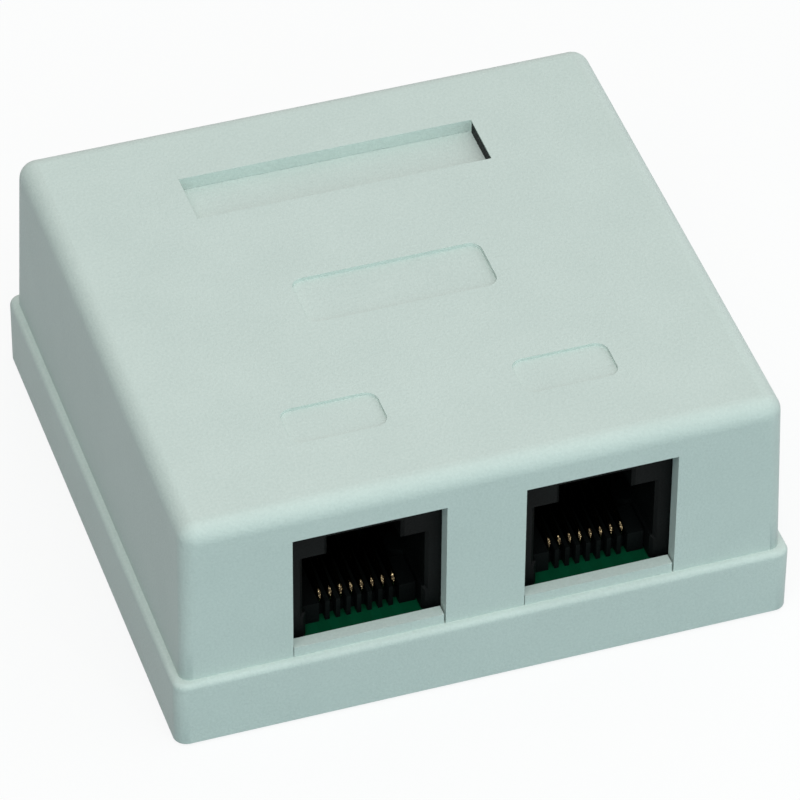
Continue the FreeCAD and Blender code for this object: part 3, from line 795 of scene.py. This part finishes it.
class JACKBOX_OT_blocks(bpy.types.Operator):
    """Finish the wiring blocks"""
    bl_idname = "jackbox.blocks"
    bl_label = "Wiring blocks"

    def execute(self, context):
        made = block_plastic(context.scene.jack_box_finishes)
        for node in nodes_named("idc_block"):
            dress(node, made)
        return {"FINISHED"}


class JACKBOX_OT_board(bpy.types.Operator):
    """Finish the circuit board"""
    bl_idname = "jackbox.board"
    bl_label = "Circuit board"

    def execute(self, context):
        dress("circuit_board", solder_mask(context.scene.jack_box_finishes))
        return {"FINISHED"}


class JACKBOX_OT_stage(bpy.types.Operator):
    """Set the floor, the lamps, the world and the camera"""
    bl_idname = "jackbox.stage"
    bl_label = "Stage and camera"

    def execute(self, context):
        stage = context.scene.jack_box_stage
        centre = (cad_box[0] + cad_box[1]) / 2
        self.make_floor(stage)
        self.make_world(context.scene, stage)
        for lamp in LAMPS:
            area_lamp(lamp, centre)
        self.make_camera(context.scene, stage, centre)
        context.scene.view_settings.view_transform = "Standard"
        return {"FINISHED"}

    def make_floor(self, stage):
        """Pale floor that takes the shadow and shows white in view."""
        made, tree, shader = new_material("Pale floor")
        tree.nodes.remove(shader)
        output = next(n for n in tree.nodes if n.type == "OUTPUT_MATERIAL")
        speckle = noise(tree, object_coordinates(tree), FLOOR_SPECKLE_SCALE)
        seen = seen_directly(tree)
        darker = tuple(c * FLOOR_SPECKLE_SHADE for c in stage.floor)
        shown = blend_colours(tree, speckle, stage.floor, darker)
        pale = blend_colours(tree, seen, stage.floor_bounce, shown)
        matt = tree.nodes.new("ShaderNodeBsdfDiffuse")
        tree.links.new(pale, matt.inputs["Color"])
        glow = tree.nodes.new("ShaderNodeEmission")
        glow.inputs["Color"].default_value = (*stage.backdrop, 1.0)
        lift = combine(tree, "MULTIPLY", seen, stage.floor_lift)
        surface = mix_shaders(tree, lift, matt.outputs["BSDF"], glow.outputs["Emission"])
        tree.links.new(surface, output.inputs["Surface"])
        mesh = bmesh.new()
        bmesh.ops.create_grid(mesh, x_segments=1, y_segments=1, size=FLOOR_HALF_SIZE,
                              matrix=Matrix.Translation((0, 0, cad_box[0].z)))
        data = bpy.data.meshes.new("floor")
        mesh.to_mesh(data)
        mesh.free()
        data.materials.append(made)
        floor = bpy.data.objects.new("floor", data)
        bpy.context.scene.collection.objects.link(floor)

    def make_world(self, scene, stage):
        """Soft light that differs by direction, and a white backdrop in view."""
        world = bpy.data.worlds.new("Studio")
        scene.world = world
        world.use_nodes = True
        tree = world.node_tree
        tree.nodes.clear()
        output = tree.nodes.new("ShaderNodeOutputWorld")
        ambient = tree.nodes.new("ShaderNodeBackground")
        way = tree.nodes.new("ShaderNodeSeparateXYZ")
        tree.links.new(tree.nodes.new("ShaderNodeTexCoord").outputs["Generated"], way.inputs["Vector"])
        rightward = ramp(tree, way.outputs["X"], *SKY_SIDE_RAMP)
        forward = ramp(tree, way.outputs["Y"], *SKY_FRONT_RAMP)
        upward = ramp(tree, way.outputs["Z"], *SKY_TOP_RAMP)
        sides = blend_colours(tree, rightward, stage.sky_left, stage.sky_right)
        fronted = blend_colours(tree, forward, sides, stage.sky_front)
        topped = blend_colours(tree, upward, fronted, stage.sky_top)
        tree.links.new(topped, ambient.inputs["Color"])
        ambient.inputs["Strength"].default_value = 1.0
        backdrop = tree.nodes.new("ShaderNodeBackground")
        backdrop.inputs["Color"].default_value = (*stage.backdrop, 1.0)
        backdrop.inputs["Strength"].default_value = 1.0
        surface = mix_shaders(tree, seen_directly(tree), ambient.outputs["Background"],
                              backdrop.outputs["Background"])
        tree.links.new(surface, output.inputs["Surface"])

    def make_camera(self, scene, stage, centre):
        """Camera at the stage's angles and distance."""
        lens = bpy.data.cameras.new("Camera")
        lens.sensor_width = SENSOR_WIDTH
        lens.lens = stage.focal
        lens.clip_start = CLIP_NEAR
        lens.clip_end = CLIP_FAR
        camera = bpy.data.objects.new("Camera", lens)
        back = direction(stage.azimuth, stage.elevation)
        camera.location = centre + Vector(stage.target_shift) + back * stage.distance
        camera.rotation_mode = "QUATERNION"
        level = (-back).to_track_quat("-Z", "Y")
        camera.rotation_quaternion = level @ Quaternion((0, 0, 1), stage.roll)
        scene.collection.objects.link(camera)
        scene.camera = camera


# ================================================================ panel and registration
class JACKBOX_PT_panel(bpy.types.Panel):
    """Sizes, colours and steps of the jack box"""
    bl_label = "Jack Box"
    bl_idname = "JACKBOX_PT_panel"
    bl_space_type = "VIEW_3D"
    bl_region_type = "UI"
    bl_category = "Jack Box"

    def draw(self, context):
        scene = context.scene
        for group in SETTINGS:
            settings = getattr(scene, group)
            section = self.layout.box()
            section.label(text=group.replace("jack_box_", "").replace("_", " ").capitalize())
            for name in settings.__annotations__:
                section.prop(settings, name)
        for step in STEPS:
            self.layout.operator(step.bl_idname)


STEPS = (JACKBOX_OT_shell, JACKBOX_OT_ledge, JACKBOX_OT_label_slot, JACKBOX_OT_jacks, JACKBOX_OT_wires,
         JACKBOX_OT_contacts, JACKBOX_OT_blocks, JACKBOX_OT_board, JACKBOX_OT_stage)
SETTINGS = {"jack_box_finishes": JackBoxFinishes, "jack_box_wires": JackBoxWires,
            "jack_box_ledge": JackBoxLedge, "jack_box_label_slot": JackBoxLabelSlot,
            "jack_box_stage": JackBoxStage}


def register():
    """Registers the classes and puts their settings on the scene."""
    for made in (*SETTINGS.values(), *STEPS, JACKBOX_PT_panel):
        bpy.utils.register_class(made)
    for name, group in SETTINGS.items():
        setattr(bpy.types.Scene, name, PointerProperty(type=group))


def unregister():
    """Takes the settings and the classes away again."""
    for name in SETTINGS:
        delattr(bpy.types.Scene, name)
    for made in reversed((*SETTINGS.values(), *STEPS, JACKBOX_PT_panel)):
        bpy.utils.unregister_class(made)


def main():
    """Runs every step."""
    register()
    for step in STEPS:
        group, name = step.bl_idname.split(".")
        getattr(getattr(bpy.ops, group), name)()


if __name__ == "__main__":
    main()
